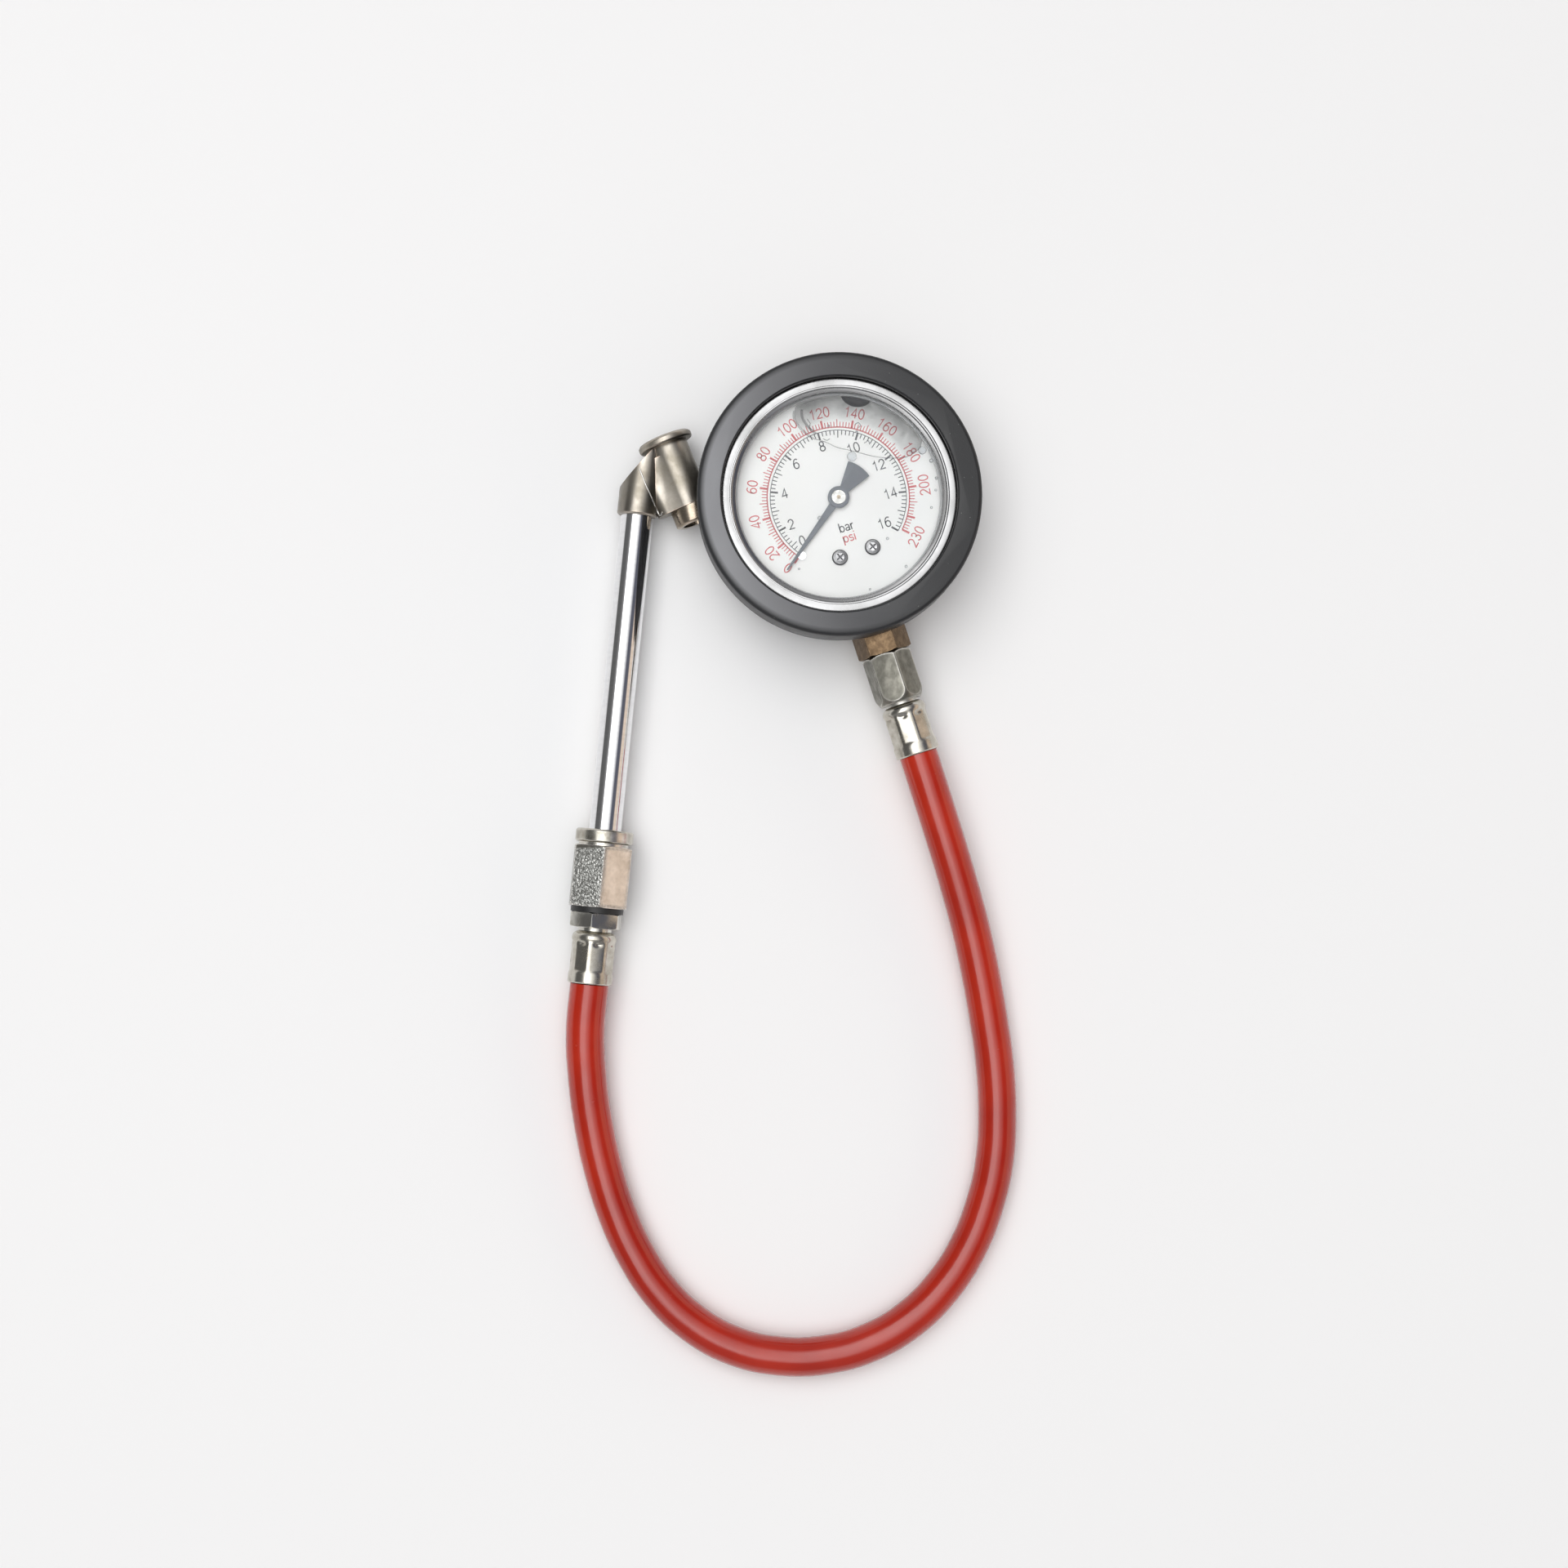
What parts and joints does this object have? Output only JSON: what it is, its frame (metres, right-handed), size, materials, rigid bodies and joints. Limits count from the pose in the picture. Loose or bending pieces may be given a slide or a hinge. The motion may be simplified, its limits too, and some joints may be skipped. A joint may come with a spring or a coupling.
{
  "type": "tyre pressure gauge with hose and dual-foot chuck",
  "caption": "Round liquid-filled tyre pressure gauge in a rubber boot, joined by a short hose to a straight air chuck with a front and a rear foot.",
  "frame": {"origin": "on the gauge's axis at the flat back of its rubber boot", "axes": "+Z out of the dial, +Y away from the hose's loop and along the chuck's handle, +X to the right as the dial is read"},
  "size_m": [0.133, 0.2977, 0.0342],
  "materials": {
    "boot_rubber": "satin moulded rubber",
    "case_steel": "brushed stainless steel",
    "bezel_steel": "polished stainless steel",
    "lens": "clear polycarbonate",
    "seal_rubber": "black nitrile rubber",
    "plug_rubber": "dark grey rubber",
    "dial_white": "white enamel with black and red print",
    "screw_steel": "zinc-plated steel",
    "pointer_black": "matt black paint",
    "hub_metal": "turned bare metal",
    "brass": "turned brass",
    "bronze": "phosphor bronze",
    "spring_steel": "bright spring wire",
    "stem_brass": "machined brass, slightly darkened",
    "nickel": "nickel-plated brass",
    "ferrule_nickel": "bright nickel-plated brass",
    "hose_red": "glossy red PVC",
    "inlet_nickel": "nickel plate over a rough cast face",
    "tube_chrome": "bright chrome",
    "head_nickel": "warm nickel plate",
    "foot_brass": "thinly plated brass"
  },
  "bodies": {
    "gauge_and_chuck": {"rubber_boot": "boot_rubber", "gauge_case": "case_steel", "bezel_ring": "bezel_steel", "window_lens": "lens", "lens_gasket": "seal_rubber", "blowout_plug": "plug_rubber", "dial_plate": "dial_white", "dial_screws": "screw_steel", "stop_pin": "screw_steel", "bourdon_tube": "bronze", "hairspring": "spring_steel", "movement_back_plate": "brass", "movement_front_plate": "brass", "movement_pillars": "brass", "movement_screws": "screw_steel", "stem_socket": "stem_brass", "stem_seal": "seal_rubber", "restrictor": "brass", "nut_washer": "seal_rubber", "swivel_nut": "nickel", "gauge_hose_tail": "nickel", "gauge_ferrule": "ferrule_nickel", "hose": "hose_red", "chuck_ferrule": "ferrule_nickel", "chuck_hose_tail": "nickel", "inlet_washer": "seal_rubber", "inlet_body": "inlet_nickel", "chuck_tube": "tube_chrome", "chuck_head": "head_nickel", "front_foot": "head_nickel", "front_seal": "seal_rubber", "rear_foot": "foot_brass", "rear_seal": "seal_rubber", "plunger_spring": "spring_steel"},
    "pointer_set": {"pointer": "pointer_black", "pointer_hub": "hub_metal", "pinion_arbor": "brass"},
    "sector": {"sector_gear": "brass"},
    "tube_end": {"tube_tip": "brass", "tip_link": "screw_steel"},
    "front_pin": {"front_plunger": "brass"},
    "rear_pin": {"rear_plunger": "brass"}
  },
  "joints": [
    {"name": "sector_swing", "type": "hinge", "parent": "gauge_and_chuck", "child": "sector", "pos_m": [0.01225, -0.00624, 0.012], "axis": [0, 0, 1], "range_deg": [0, 26.1], "stiffness_Nm_per_rad": 0.002},
    {"name": "pointer_turn", "type": "hinge", "parent": "gauge_and_chuck", "child": "pointer_set", "pos_m": [0, 0, 0.012], "axis": [0, 0, -1], "range_deg": [0, 261], "deforming": ["hairspring"]},
    {"name": "tube_end_draw", "type": "slide", "parent": "gauge_and_chuck", "child": "tube_end", "axis": [-0.1054, 0.9944, 0], "range_m": [0, 0.00273], "deforming": ["bourdon_tube"]},
    {"name": "front_plunger_push", "type": "slide", "parent": "gauge_and_chuck", "child": "front_pin", "axis": [0.3714, -0.9285, 0], "range_m": [0, 0.002], "stiffness_N_per_m": 1300, "deforming": ["plunger_spring"]},
    {"name": "rear_plunger_push", "type": "slide", "parent": "gauge_and_chuck", "child": "rear_pin", "axis": [-0.3714, 0.9285, 0], "range_m": [0, 0.002], "stiffness_N_per_m": 1300, "deforming": ["plunger_spring"]}
  ],
  "couplings": [
    {"joint": "pointer_turn", "follows": "sector_swing", "ratio": 10},
    {"joint": "tube_end_draw", "follows": "sector_swing", "m_per_rad": 0.006}
  ]
}
